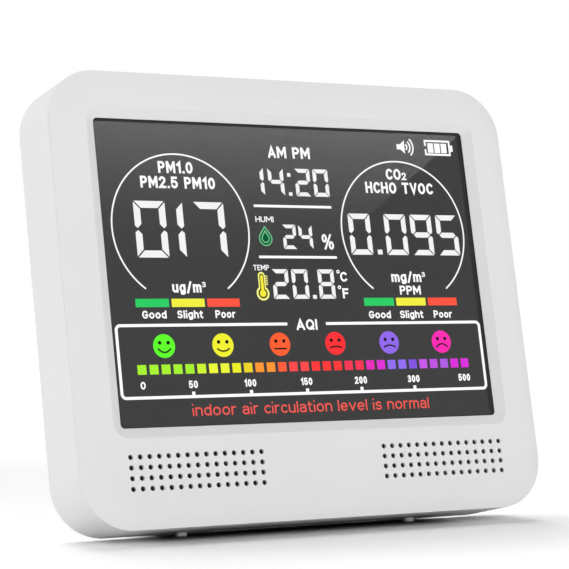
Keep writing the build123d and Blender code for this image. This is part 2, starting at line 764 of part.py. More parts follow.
fan_top = pm_board_top + 1.6
with BuildPart() as pm_fan_rotor:
    with BuildSketch(depth(fan_top)):
        with Locations((pm_x, fan_y)):
            Circle(fan_hub_r)
    extrude(amount=-6.0)
    with BuildSketch(depth(fan_top)):
        with Locations((pm_x, fan_y)):
            Circle(fan_disc_r)
    extrude(amount=-0.6)
    with BuildSketch(depth(fan_top)):
        with Locations((pm_x, fan_y)):
            with PolarLocations(5.6, 11):
                Rectangle(5.4, 0.6, rotation=25)
    extrude(amount=-5.6)
    with BuildSketch(depth(fan_top)):
        with Locations((pm_x, fan_y)):
            Circle(0.65)
    extrude(amount=-6.0, mode=Mode.SUBTRACT)
save(pm_fan_rotor.part, "pm_fan_rotor")

with BuildPart() as pm_sensor_lid:
    with BuildSketch(depth(pm_end - lid_t)):
        with Locations((pm_x, pm_y)):
            RectangleRounded(pm_w, pm_h, 1.0)
        with Locations((pm_x, fan_y)):
            Circle(7.5, mode=Mode.SUBTRACT)
        with Locations((pm_x, pm_y - 18)):
            with GridLocations(3, 3, 8, 2):
                Circle(0.9, mode=Mode.SUBTRACT)
    extrude(amount=-lid_t)
save(pm_sensor_lid.part, "pm_sensor_lid")

with BuildPart() as rear_filter:
    with BuildSketch(depth(pm_end)):
        with Locations((pm_x, pm_y)):
            Rectangle(36, pm_h)
    extrude(amount=-(rear_inner - pm_end))
save(rear_filter.part, "rear_filter")

for side, x in (("left", -GRILLE_X), ("right", GRILLE_X)):
    with BuildPart() as mesh:
        with BuildSketch(depth(GRILLE_T)):
            with Locations((x, GRILLE_Y)):
                RectangleRounded(GRILLE_W - 0.4, GRILLE_H - 0.4, 1.0)
        extrude(amount=-0.25)
    save(mesh.part, f"grille_mesh_{side}")

# ================================================================ speaker
speaker_w = 48.4
speaker_h = 15.8
with BuildPart() as speaker_gasket:
    with BuildSketch(depth(PANEL)):
        with Locations((GRILLE_X, GRILLE_Y)):
            RectangleRounded(speaker_w, speaker_h, 4)
            RectangleRounded(GRILLE_W + 0.4, GRILLE_H + 0.4, 3, mode=Mode.SUBTRACT)
    extrude(amount=-gasket_t)
save(speaker_gasket.part, "speaker_gasket")

with BuildPart() as speaker_frame:
    with BuildSketch(depth(frame_top)):
        with Locations((GRILLE_X, GRILLE_Y)):
            RectangleRounded(speaker_w, speaker_h, 4)
            RectangleRounded(speaker_w - 2, speaker_h - 2, 3.5, mode=Mode.SUBTRACT)
    extrude(amount=-basket_h)
    with BuildSketch(depth(frame_top + basket_h)):
        with at(speaker_screw_xy):
            Circle(2.4)
        with Locations((GRILLE_X, GRILLE_Y)):
            RectangleRounded(speaker_w, speaker_h, 4)
            Rectangle(2 * speaker_reach, 3)
            RectangleRounded(22, 10.2, 2, mode=Mode.SUBTRACT)
    extrude(amount=-0.8)
    with BuildSketch(depth(basket_end)):
        with at(speaker_screw_xy):
            Circle(1.1)
    extrude(amount=0.8, mode=Mode.SUBTRACT)
save(speaker_frame.part, "speaker_frame")

with BuildPart() as speaker_cone:
    with BuildSketch(depth(frame_top + 1.0)):
        with Locations((GRILLE_X, GRILLE_Y)):
            RectangleRounded(speaker_w - 2.2, speaker_h - 2.2, 3.4)
    extrude(amount=-0.4)
    with BuildSketch(depth(frame_top + 1.4)):
        with Locations((GRILLE_X, GRILLE_Y)):
            RectangleRounded(18, 7, 2)
    extrude(amount=-1.8)
save(speaker_cone.part, "speaker_cone")

with BuildPart() as speaker_magnet:
    with BuildSketch(depth(frame_top + 3.2)):
        with Locations((GRILLE_X, GRILLE_Y)):
            RectangleRounded(21.6, 10, 1.5)
    extrude(amount=-4.4)
save(speaker_magnet.part, "speaker_magnet")

# ================================================================ internal leads
lead_r = 0.45
leads = {  # wires, offset from one wire to the next, route; all as x, y up the face, depth
    "battery_lead": (
        2,
        (0, 0, 1.2),
        [(20, battery_y + 20, 14.2), (20, 6.5, 14.2), (36, 6.5, 14.2), (36, -35.7, 14.2)],
    ),
    "speaker_lead": (
        2,
        (1.5, 0, 0),
        [(31, -52.5, basket_end + 0.05), (31, -52.5, 15.0), (43.2, -47, 15.0), (43.2, -40.3, 15.0)],
    ),
    "button_lead": (4, (1.5, 0, 0), [(33.7, 34, 14.4), (33.7, 31.3, 14.4)]),
}
for name, (count, step, points) in leads.items():
    with BuildPart() as lead:
        for k in range(count):
            shift = [k * s for s in step]
            spots = [
                BODY.from_local_coords((x + shift[0], y + shift[1], -d - shift[2]))
                for x, y, d in points
            ]
            with BuildLine() as route:
                if len(spots) > 2:
                    FilletPolyline(*spots, radius=2.4)
                else:
                    Line(*spots)
            with BuildSketch(Plane(origin=route.line @ 0, z_dir=route.line % 0)):
                Circle(lead_r)
            sweep(path=route.line)
    save(lead.part, name)

# ================================================================ small fasteners
with BuildPart() as board_screws:
    seats = [  # depth of the head's seat, places, length of the thread
        (frame_end, frame_ear_xy, 3.6),
        (board_back, board_screw_xy, 2.6),
        (sensor_board_back, sensor_screw_xy, 3.6),
        (basket_end, speaker_screw_xy, 3.6),
    ]
    for seat, points, thread in seats:
        with BuildSketch(depth(seat)):
            with at(points):
                Circle(SMALL_HEAD_R)
        extrude(amount=-SMALL_HEAD_H)
        with BuildSketch(depth(seat)):
            with at(points):
                Circle(SMALL_SCREW_R)
        extrude(amount=thread)
save(board_screws.part, "board_screws")

with BuildPart() as button_board_screws:
    with BuildSketch(depth(button_board_top)):
        with at(button_screw_xy):
            Circle(SMALL_HEAD_R)
    extrude(amount=SMALL_HEAD_H)
    with BuildSketch(depth(button_board_top)):
        with at(button_screw_xy):
            Circle(SMALL_SCREW_R)
    extrude(amount=-4.0)
save(button_board_screws.part, "button_board_screws")

# ================================================================ fold-out leg
tip_y = -(leg_length - PAD_H)
with BuildPart() as stand:
    with BuildSketch(LEG.offset(-STAND_T / 2)):
        with Locations((0, HEEL)):
            Rectangle(STAND_W, HEEL - tip_y, align=(Align.CENTER, Align.MAX))
    extrude(amount=STAND_T)
    short_edges = stand.edges().filter_by(Axis(LEG.origin, LEG.z_dir))
    fillet(short_edges.sort_by(Axis(LEG.origin, LEG.y_dir))[:2], radius=STAND_CORNER)
    # knuckle around the hinge axis
    with BuildSketch(leg_end(-1)):
        Circle(KNUCKLE_R)
    extrude(amount=STAND_W)
    # shallow inner pocket that thins the plate
    with BuildSketch(LEG.offset(STAND_T / 2)):
        with Locations((0, (tip_y - KNUCKLE_R) / 2)):
            RectangleRounded(STAND_W - 12, -tip_y - KNUCKLE_R - 12, 4)
    extrude(amount=-1.2, mode=Mode.SUBTRACT)
    # pin bores at both ends
    for side in (-1, 1):
        with BuildSketch(leg_end(side)):
            Circle(PIN_R + 0.05)
        extrude(amount=-6 * side, mode=Mode.SUBTRACT)
    # finger ridges near the tip, on the outer face
    with BuildSketch(LEG.offset(-STAND_T / 2)):
        with Locations((0, tip_y + 12)):
            with GridLocations(0, 2.4, 1, 5):
                SlotOverall(26, 1.0)
    extrude(amount=-0.35)
save(stand.part, "stand")

with BuildPart() as stand_foot_pad:
    with BuildSketch(LEG.offset(-STAND_T / 2)):
        with Locations((0, tip_y)):
            Rectangle(
                STAND_W - 2 * STAND_CORNER - 2, PAD_H + 2, align=(Align.CENTER, Align.MAX)
            )
    extrude(amount=STAND_T)
    split(bisect_by=Plane.XY, keep=Keep.TOP)
save(stand_foot_pad.part, "stand_foot_pad")

with BuildPart() as stand_pins:
    pin_outer = hinge_block_x - 0.1
    with BuildSketch(across(pin_outer)):
        with Locations((HINGE_Y, -HINGE_DEPTH)):
            Circle(PIN_R)
    extrude(amount=-PIN_L)
    with BuildSketch(across(-pin_outer)):
        with Locations((HINGE_Y, -HINGE_DEPTH)):
            Circle(PIN_R)
    extrude(amount=PIN_L)
save(stand_pins.part, "stand_pins")
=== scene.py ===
"""Looks of a desk air quality monitor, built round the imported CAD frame.

Metres, +Z up, the front towards -Y. Artwork is given in millimetres of the leaning front face.
"""

import json
import math

import bmesh
import bpy
from mathutils import Matrix, Vector


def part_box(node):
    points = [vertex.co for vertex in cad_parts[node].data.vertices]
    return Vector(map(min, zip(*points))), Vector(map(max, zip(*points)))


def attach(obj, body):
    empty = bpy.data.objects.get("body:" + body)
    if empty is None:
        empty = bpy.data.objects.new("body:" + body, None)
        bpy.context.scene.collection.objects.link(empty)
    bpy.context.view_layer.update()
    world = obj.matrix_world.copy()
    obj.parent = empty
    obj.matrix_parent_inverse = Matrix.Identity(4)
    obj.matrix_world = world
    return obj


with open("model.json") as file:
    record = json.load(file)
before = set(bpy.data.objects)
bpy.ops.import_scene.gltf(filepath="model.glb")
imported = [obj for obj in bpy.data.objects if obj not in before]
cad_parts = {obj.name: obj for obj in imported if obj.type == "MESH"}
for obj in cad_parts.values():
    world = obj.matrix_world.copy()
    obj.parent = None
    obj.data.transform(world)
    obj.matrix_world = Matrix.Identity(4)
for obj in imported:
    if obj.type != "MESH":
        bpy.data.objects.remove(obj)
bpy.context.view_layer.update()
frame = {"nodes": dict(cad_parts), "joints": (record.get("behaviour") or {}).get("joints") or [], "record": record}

# ================================================================ frames of the leaning face
MM = 0.001
WINDOW_TOP = 2.2  # in mm: how far the cover window lies behind the front face, as in the CAD
WINDOW_T = 0.8  # its thickness
CAP_TOP = 24.8  # how far the tops of the rear buttons lie behind the front face

joints = {j["name"]: j for j in frame["joints"]}
OUT = Vector(joints["power_press"]["axis"]).normalized()  # out of the front face
RIGHT = Vector((1, 0, 0))
UP = OUT.cross(RIGHT)
LEAN = math.atan2(OUT.z, -OUT.y)

window_low, window_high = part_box("display_window")
window_centre = (window_low + window_high) / 2
FACE_ORIGIN = window_centre + OUT * (WINDOW_TOP + WINDOW_T / 2) * MM


def basis(right, up, out, origin):
    """Matrix from millimetres along right, up and out to the row frame."""
    m = Matrix.Identity(4)
    for column, vector in enumerate((right, up, out)):
        for row in range(3):
            m[row][column] = vector[row] * MM
    m.translation = origin
    return m


FACE = basis(RIGHT, UP, OUT, FACE_ORIGIN)  # x across, y up the face, z out of it
REAR = basis(-RIGHT, UP, -OUT, FACE_ORIGIN)  # the same, seen from behind

# ================================================================ camera
YAW = math.radians(30.05)  # how far round to the left of the display the camera stands
BACK, SIDE, LOW = 0.64399, 0.00486, 0.00375  # from the window's middle to the eye, in metres
LENS, SENSOR = 136.0, 36.0
forward = Vector((math.sin(YAW), math.cos(YAW), 0))
sideways = Vector((math.cos(YAW), -math.sin(YAW), 0))
window_front = FACE @ Vector((0, 0, -WINDOW_TOP))
eye = window_front - forward * BACK - sideways * SIDE - Vector((0, 0, LOW))
lens = bpy.data.cameras.new("camera")
lens.lens = LENS
lens.sensor_width = SENSOR
lens.clip_start = 0.05
lens.clip_end = 30.0
camera = bpy.data.objects.new("camera", lens)
camera.location = eye
camera.rotation_euler = (math.pi / 2, 0, -YAW)
bpy.context.collection.objects.link(camera)
bpy.context.scene.camera = camera
bpy.context.scene.view_settings.view_transform = "Standard"


# ================================================================ node helpers
def linear(*srgb):
    """Linear colour of an 8-bit sRGB one."""
    parts = [c / 255 for c in srgb]
    return tuple(c / 12.92 if c <= 0.04045 else ((c + 0.055) / 1.055) ** 2.4 for c in parts)


class Finish:
    """A node material round one Principled shader, patterns in millimetres of the leaning frame."""

    def __init__(self, name, **values):
        self.material = bpy.data.materials.new(name)
        self.material.use_nodes = True
        self.tree = self.material.node_tree
        self.shader = self.tree.nodes["Principled BSDF"]
        self.set(**values)
        where = self.tree.nodes.new("ShaderNodeTexCoord")
        turn = self.tree.nodes.new("ShaderNodeMapping")
        turn.vector_type = "POINT"
        turn.inputs["Rotation"].default_value = (LEAN, 0, 0)
        turn.inputs["Scale"].default_value = (1000, 1000, 1000)
        self.link(where.outputs["Object"], turn.inputs["Vector"])
        self.mm = turn.outputs["Vector"]

    def set(self, **values):
        for key, value in values.items():
            socket = self.shader.inputs[key.replace("_", " ")]
            socket.default_value = (*value, 1) if isinstance(value, tuple) else value

    def link(self, source, target):
        self.tree.links.new(source, target)

    def node(self, kind, **values):
        made = self.tree.nodes.new("ShaderNode" + kind)
        for key, value in values.items():
            if key in made.inputs:
                made.inputs[key].default_value = value
            else:
                setattr(made, key, value)
        return made

    def stretched(self, x, y, z):
        """The millimetre coordinates with each axis multiplied."""
        made = self.node("Mapping", Scale=(x, y, z))
        self.link(self.mm, made.inputs["Vector"])
        return made.outputs["Vector"]

    def noise(self, size, detail=2.0, roughness=0.5, where=None):
        """Noise with features of this size in millimetres, about 0.2 to 0.8."""
        made = self.node("TexNoise", Scale=1 / size, Detail=detail, Roughness=roughness)
        self.link(where or self.mm, made.inputs["Vector"])
        return made.outputs["Fac"]

    def cells(self, size, feature="F1", randomness=1.0, where=None):
        made = self.node("TexVoronoi", feature=feature, Scale=1 / size, Randomness=randomness)
        self.link(where or self.mm, made.inputs["Vector"])
        return made.outputs["Distance"]

    def span(self, value, low, high, start=0.25, end=0.75):
        """A value from start to end turned into one from low to high."""
        made = self.node("MapRange")
        limits = {"From Min": start, "From Max": end, "To Min": low, "To Max": high}
        for key, number in limits.items():
            made.inputs[key].default_value = number
        self.link(value, made.inputs["Value"])
        return made.outputs["Result"]

    def maths(self, operation, a, b):
        made = self.node("Math", operation=operation)
        for socket, value in zip(made.inputs, (a, b)):
            if isinstance(value, (int, float)):
                socket.default_value = value
            else:
                self.link(value, socket)
        return made.outputs["Value"]

    def shades(self, value, *stops, mode="LINEAR"):
        """Colour from (position, linear colour) stops."""
        made = self.node("ValToRGB")
        ramp = made.color_ramp
        ramp.interpolation = mode
        while len(ramp.elements) < len(stops):
            ramp.elements.new(1.0)
        for element, (position, colour) in zip(ramp.elements, stops):
            element.position = position
            element.color = (*colour, 1)
        self.link(value, made.inputs["Fac"])
        return made.outputs["Color"]

    def tint(self, value, colour, spread):
        """Base colour that varies a little round one colour."""
        dark = tuple(c * (1 - spread) for c in colour)
        light = tuple(min(1.0, c * (1 + spread)) for c in colour)
        self.link(self.shades(value, (0.3, dark), (0.7, light)), self.shader.inputs["Base Color"])

    def rough(self, value, low, high):
        self.link(self.span(value, low, high), self.shader.inputs["Roughness"])

    def bump(self, value, height, strength=1.0):
        """Relief from a 0 to 1 pattern, height in millimetres."""
        made = self.node("Bump", Strength=strength, Distance=height * MM)
        self.link(value, made.inputs["Height"])
        if self.shader.inputs["Normal"].links:
            self.link(self.shader.inputs["Normal"].links[0].from_socket, made.inputs["Normal"])
        self.link(made.outputs["Normal"], self.shader.inputs["Normal"])


def grained(name, colour, rough, spread=0.03, grain=0.4, relief=0.01, patch=18.0, **values):
    """Moulded or coated stuff: slow colour drift, uneven gloss and a fine grain."""
    made = Finish(name, **values)
    made.tint(made.noise(patch, 3), colour, spread)
    made.rough(made.noise(grain * 6, 4), rough * 0.88, rough * 1.12)
    made.bump(made.noise(grain, 3, 0.6), relief)
    return made


def lit(name, colour, strength, patch=6.0):
    """A lit part of the display, slightly uneven as its backlight is."""
    made = Finish(name, Base_Color=(0.01, 0.01, 0.01), Roughness=0.6, Emission_Color=colour)
    made.set(Specular_IOR_Level=0.0)
    uneven = made.noise(patch, 3)
    level = made.span(uneven, strength * 0.97, strength * 1.05)
    made.link(level, made.shader.inputs["Emission Strength"])
    return made


# ================================================================ materials of the CAD nodes
def shell_finish(name, colour):
    """Satin white ABS with the fine spark-eroded texture of its mould."""
    made = Finish(name, Specular_IOR_Level=0.42, IOR=1.5)
    made.tint(made.noise(45.0, 2), colour, 0.012)
    made.rough(made.noise(1.6, 4), 0.44, 0.52)
    made.bump(made.noise(0.22, 2, 0.6), 0.006)
    made.bump(made.cells(0.5), 0.004)
    return made


shell = shell_finish("white_abs", (0.80, 0.80, 0.80))
leg_shell = shell_finish("white_abs_leg", (0.78, 0.78, 0.785))
caps = shell_finish("white_abs_buttons", (0.81, 0.81, 0.815))
# name, colour, then roughness, spread of the colour, and grain, relief and patches in mm
foot_rubber = grained("grey_foot", (0.60, 0.60, 0.61), 0.7, 0.06, 0.3, 0.02, 3.0)
steel = grained("steel", (0.50, 0.51, 0.53), 0.32, 0.08, 0.2, 0.004, 2.0, Metallic=1.0)
nickel = grained("nickel", (0.62, 0.60, 0.56), 0.25, 0.06, 0.3, 0.003, 2.0, Metallic=1.0)
adhesive = grained("black_adhesive", (0.012, 0.012, 0.013), 0.6, 0.2, 0.3, 0.01)
white_film = grained("optical_white", (0.85, 0.86, 0.88), 0.4, 0.02, 0.2, 0.003)
white_board = grained("led_board", (0.75, 0.76, 0.74), 0.5, 0.04, 0.3, 0.005)
white_frame = grained("frame_white", (0.74, 0.74, 0.72), 0.5, 0.03, 0.3, 0.008)
black_plastic = grained("chip_black", (0.018, 0.018, 0.020), 0.5, 0.25, 0.15, 0.008, 3.0)
cream = grained("connector_cream", (0.66, 0.58, 0.42), 0.45, 0.05, 0.3, 0.006)
cone_paper = grained("cone_black", (0.022, 0.021, 0.020), 0.85, 0.35, 0.35, 0.03, 2.0)
sensor_white = grained("sensor_white", (0.70, 0.71, 0.70), 0.48, 0.04, 0.3, 0.008)
gold = grained("gold_sensor", (0.72, 0.50, 0.20), 0.28, 0.07, 0.3, 0.004, 3.0, Metallic=1.0)
clear_guide = grained("optical_clear", (0.90, 0.92, 0.93), 0.08, 0.01, 0.6, 0.002)
clear_guide.set(Transmission_Weight=1.0, IOR=1.49)

wrap = Finish("battery_silver", Metallic=0.85)  # crinkled aluminium laminate
wrap.tint(wrap.noise(5.0, 4), (0.55, 0.56, 0.58), 0.10)
wrap.rough(wrap.noise(1.2, 4), 0.28, 0.46)
wrap.bump(wrap.noise(2.2, 5, 0.65, wrap.stretched(1, 0.5, 1)), 0.08)

flex = Finish("flex_amber", Coat_Weight=0.3)  # polyimide over copper lines that run along the ribbon
copper = flex.node("TexWave", wave_type="BANDS", bands_direction="X", Scale=0.63)
flex.link(flex.mm, copper.inputs["Vector"])
flex.link(
    flex.shades(copper.outputs["Fac"], (0.35, (0.30, 0.10, 0.015)), (0.65, (0.62, 0.27, 0.06))),
    flex.shader.inputs["Base Color"],
)
flex.rough(flex.noise(2.0, 3), 0.28, 0.42)
flex.bump(copper.outputs["Fac"], 0.03)

board = Finish("pcb_green", Coat_Weight=0.35, Coat_Roughness=0.2)  # solder mask over tracks
maze = board.cells(3.4, "DISTANCE_TO_EDGE", 0.55)
tracks = board.shades(maze, (0.05, (0.03, 0.16, 0.05)), (0.09, (0.010, 0.075, 0.022)))
board.link(tracks, board.shader.inputs["Base Color"])
board.rough(board.noise(1.5, 4), 0.30, 0.45)
board.bump(board.span(maze, 1.0, 0.0, 0.04, 0.10), 0.035)

foam = Finish("foam_dark", Roughness=0.95)  # open-cell filter foam, its pores painted darker where the relief is low: painted shade
pores = foam.cells(0.75)
# painted shade: darker in the low parts of the relief, between the raised cells
foam.link(
    foam.shades(pores, (0.1, (0.035, 0.035, 0.037)), (0.55, (0.004, 0.004, 0.004))),
    foam.shader.inputs["Base Color"],
)
foam.bump(foam.span(pores, 1.0, 0.0, 0.0, 0.6), 0.35)

mesh_cloth = Finish("mesh_dark", Roughness=0.8)  # woven dust mesh, painted darker in the gaps between its threads: painted shade
across = mesh_cloth.node("TexWave", bands_direction="X", Scale=0.9)
upward = mesh_cloth.node("TexWave", bands_direction="Z", Scale=0.9)
for wave in (across, upward):
    mesh_cloth.link(mesh_cloth.mm, wave.inputs["Vector"])
weave = mesh_cloth.maths("MAXIMUM", across.outputs["Fac"], upward.outputs["Fac"])
# painted shade: the gaps, where the relief is low, darker than the threads
mesh_cloth.link(
    mesh_cloth.shades(weave, (0.5, (0.002, 0.002, 0.002)), (0.95, (0.016, 0.016, 0.017))),
    mesh_cloth.shader.inputs["Base Color"],
)
mesh_cloth.bump(weave, 0.08)

insulation = Finish("wire_red", Specular_IOR_Level=0.5)  # red and black leads side by side
pair = insulation.cells(9.0)
insulation.link(
    insulation.shades(pair, (0.35, (0.42, 0.015, 0.012)), (0.5, (0.30, 0.010, 0.010))),
    insulation.shader.inputs["Base Color"],
)
insulation.rough(insulation.noise(1.0, 3), 0.32, 0.45)
insulation.bump(insulation.noise(0.6, 2), 0.01)

# the cover window: clear and coated against reflections, so the sheen comes from the glass behind it
clear = Finish("clear_window", Base_Color=(1.0, 1.0, 1.0), Transmission_Weight=1.0, IOR=1.04)
clear.rough(clear.noise(30.0, 3), 0.0, 0.008)

# the unlit display: near-black liquid crystal glass that glows faintly, partly with a little of its backlight
# coming through and partly with painted light that stands in for the room light it would show through the window
BACKLIGHT_AND_PAINTED_FILL = 0.034
dark = Finish("lcd_dark", Base_Color=(0.006, 0.006, 0.007), Specular_IOR_Level=0.65, IOR=1.5)
dark.rough(dark.noise(30.0, 3), 0.008, 0.02)
dark.link(
    dark.shades(dark.noise(40.0, 2), (0.3, (0.96, 0.96, 0.99)), (0.7, (1.0, 1.0, 1.0))),
    dark.shader.inputs["Emission Color"],
)
# strength of that faint glow: partly backlight, partly painted light that sets how grey the dark glass looks
backlight_and_painted_fill_level = dark.span(dark.noise(55.0, 1), BACKLIGHT_AND_PAINTED_FILL * 0.95, BACKLIGHT_AND_PAINTED_FILL * 1.05)
dark.link(backlight_and_painted_fill_level, dark.shader.inputs["Emission Strength"])

slot_finish = {
    "white_shell": shell,
    "foot_grey": foot_rubber,
    "steel": steel,
    "clear_window": clear,
    "black_adhesive": adhesive,
    "lcd_dark": dark,
    "optical_white": white_film,
    "optical_clear": clear_guide,
    "led_board": white_board,
    "frame_white": white_frame,
    "flex_amber": flex,
    "pcb_green": board,
    "chip_black": black_plastic,
    "connector_cream": cream,
    "nickel": nickel,
    "battery_silver": wrap,
    "white_button": caps,
    "sensor_white": sensor_white,
    "gold_sensor": gold,
    "foam_dark": foam,
    "mesh_dark": mesh_cloth,
    "cone_black": cone_paper,
    "wire_red": insulation,
}
for part in frame["record"]["subparts"]:
    finish = leg_shell if part["node"] == "stand" else slot_finish[part["material_slot"]]
    materials = frame["nodes"][part["node"]].data.materials
    materials.clear()
    materials.append(finish.material)


# ================================================================ flat artwork, drawn in millimetres
BOLD, LIGHT, PERCENT, MESSAGE = 0.195, 0.155, 0.125, 0.135  # stroke widths, capitals being one high
TRACKING, MESSAGE_TRACKING = 0.13, 0.15  # gaps between letters
WORD_SPACE = 0.62
DEGREE_R, DEGREE_LINE = 0.42, 0.32


class Art:
    """Thin closed plates between two heights, joined into one piece."""

    def __init__(self, name, finish, top, thickness):
        self.name, self.finish = name, finish
        self.top, self.bottom = top, top - thickness
        self.bm = bmesh.new()

    def poly(self, points):
        """A plate with this outline."""
        rings = [[self.bm.verts.new((x, y, z)) for x, y in points] for z in (self.top, self.bottom)]
        self.bm.faces.new(rings[0])
        self.bm.faces.new(rings[1][::-1])
        self.wall(rings[0], rings[1], True)

    def wall(self, upper, lower, closed):
        count = len(upper)
        for i in range(count if closed else count - 1):
            j = (i + 1) % count
            self.bm.faces.new((upper[i], lower[i], lower[j], upper[j]))

    def box(self, x0, y0, x1, y1):
        self.poly([(x0, y0), (x1, y0), (x1, y1), (x0, y1)])

    def disc(self, x, y, radius, steps=40):
        self.poly(arc(x, y, radius, 0, 360, steps)[:-1])

    def band(self, points, width, closed=False):
        """A line of constant width along points, mitred at its corners."""
        count, sides = len(points), ([], [])
        for i, (x, y) in enumerate(points):
            before = points[i - 1] if closed or i else points[0]
            after = points[(i + 1) % count] if closed or i < count - 1 else points[-1]
            a = Vector((x - before[0], y - before[1]))
            b = Vector((after[0] - x, after[1] - y))
            a = a.normalized() if a.length else b.normalized()
            b = b.normalized() if b.length else a
            mid = (a + b).normalized()
            reach = width / 2 / max(0.4, mid.dot(b))
            for side, sign in zip(sides, (1, -1)):
                side.append((x - mid.y * reach * sign, y + mid.x * reach * sign))
        edge = [
            [[self.bm.verts.new((x, y, z)) for x, y in side] for side in sides]
            for z in (self.top, self.bottom)
        ]
        (top_left, top_right), (low_left, low_right) = edge
        for i in range(count if closed else count - 1):
            j = (i + 1) % count
            self.bm.faces.new((top_left[i], top_left[j], top_right[j], top_right[i]))
            self.bm.faces.new((low_right[i], low_right[j], low_left[j], low_left[i]))
        self.wall(top_left, low_left, closed)
        self.wall(low_right, top_right, closed)
        if not closed:
            for i in (0, -1):
                self.bm.faces.new((top_left[i], low_left[i], low_right[i], top_right[i]))

    def digit(self, char, x, y, width, height, stroke):
        """One seven-segment figure, x and y at its lower left."""
        lo, right, top, mid = x, x + width, y + height, y + height / 2
        gap, tip = 0.15 * stroke, 0.42 * stroke
        for name in SEGMENTS[char]:
            if name in "ad":
                outer, way = (top, -1) if name == "a" else (y, 1)
                inner = outer + way * stroke
                ends = (lo + gap, right - gap, right - stroke - gap, lo + stroke + gap)
                self.poly(list(zip(ends, (outer, outer, inner, inner))))
            elif name == "g":
                near, far, half = lo + tip + gap, right - tip - gap, stroke / 2
                self.poly(
                    [
                        (near, mid),
                        (near + half, mid - half),
                        (far - half, mid - half),
                        (far, mid),
                        (far - half, mid + half),
                        (near + half, mid + half),
                    ]
                )
            else:
                edge, inward = (right, -1) if name in "bc" else (lo, 1)
                far, down = (top, -1) if name in "bf" else (y, 1)
                start = mid - down * gap
                self.poly(
                    [
                        (edge, far + down * gap),
                        (edge + inward * stroke, far + down * (stroke + gap)),
                        (edge + inward * stroke, start - down * (stroke - tip)),
                        (edge + inward * tip, start),
                        (edge, start - down * tip * 0.8),
                    ]
                )

    def text(self, words, x0, x1, base, cap, boldness=BOLD, spacing=TRACKING):
        """Words from x0 to x1 on base, capitals of this height, every stroke of the same width."""
        stroke, gap, space = cap * boldness, cap * spacing, cap * WORD_SPACE
        widths = [max(x for line in GLYPHS[c] for x, y in line) for c in words if c != " "]
        spaces = words.count(" ")
        fixed = len(widths) * stroke + spaces * (space - gap) + (len(words) - 1 - spaces) * gap
        wide, tall = (x1 - x0 - fixed) / sum(widths), cap - stroke
        x = x0 + stroke / 2
        for char in words:
            if char == " ":
                x += space - gap
                continue
            for line in GLYPHS[char]:
                path = [(x + u * wide, base + stroke / 2 + v * tall) for u, v in line]
                closed = len(path) > 2 and math.dist(path[0], path[-1]) < 0.01
                self.band(path[:-1] if closed else square_ends(path, stroke / 2), stroke, closed)
            x += max(u for line in GLYPHS[char] for u, v in line) * wide + stroke + gap

    def build(self, body="housing", place=None):
        bmesh.ops.remove_doubles(self.bm, verts=self.bm.verts, dist=1e-4)
        bmesh.ops.recalc_face_normals(self.bm, faces=self.bm.faces)
        mesh = bpy.data.meshes.new(self.name)
        self.bm.to_mesh(mesh)
        self.bm.free()
        mesh.transform(place or ART)
        mesh.materials.append(self.finish.material)
        piece = bpy.data.objects.new(self.name, mesh)
        bpy.context.collection.objects.link(piece)
        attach(piece, body)
        return piece


SEGMENTS = {
    "0": "abcdef",
    "1": "bc",
    "2": "abged",
    "4": "fgbc",
    "5": "afgcd",
    "7": "abc",
    "8": "abcdefg",
    "9": "abcdfg",
}


def square_ends(path, reach):
    """The path with both ends drawn out by reach."""
    first, second, before, last = (Vector(p) for p in (path[0], path[1], path[-2], path[-1]))
    if (second - first).length < 1e-6:
        return [(first.x, first.y - reach), (first.x, first.y + reach)]
    start = first + (first - second).normalized() * reach
    end = last + (last - before).normalized() * reach
    return [tuple(start)] + list(path[1:-1]) + [tuple(end)]


def arc(x, y, radius, start, end, steps):
    """Points along an arc, angles in degrees anticlockwise from +x."""
    angles = [math.radians(start + (end - start) * i / steps) for i in range(steps + 1)]
    return [(x + radius * math.cos(a), y + radius * math.sin(a)) for a in angles]


def bowl(x, y, across, up, start, end):
    """Points along an upright oval, angles as in arc."""
    return [(x + across * u, y + up * v) for u, v in arc(0, 0, 1, start, end, 14)]


SMALL = 0.72  # height of the small letters, the capitals being one high
STEM = [(0, SMALL), (0, 0)]
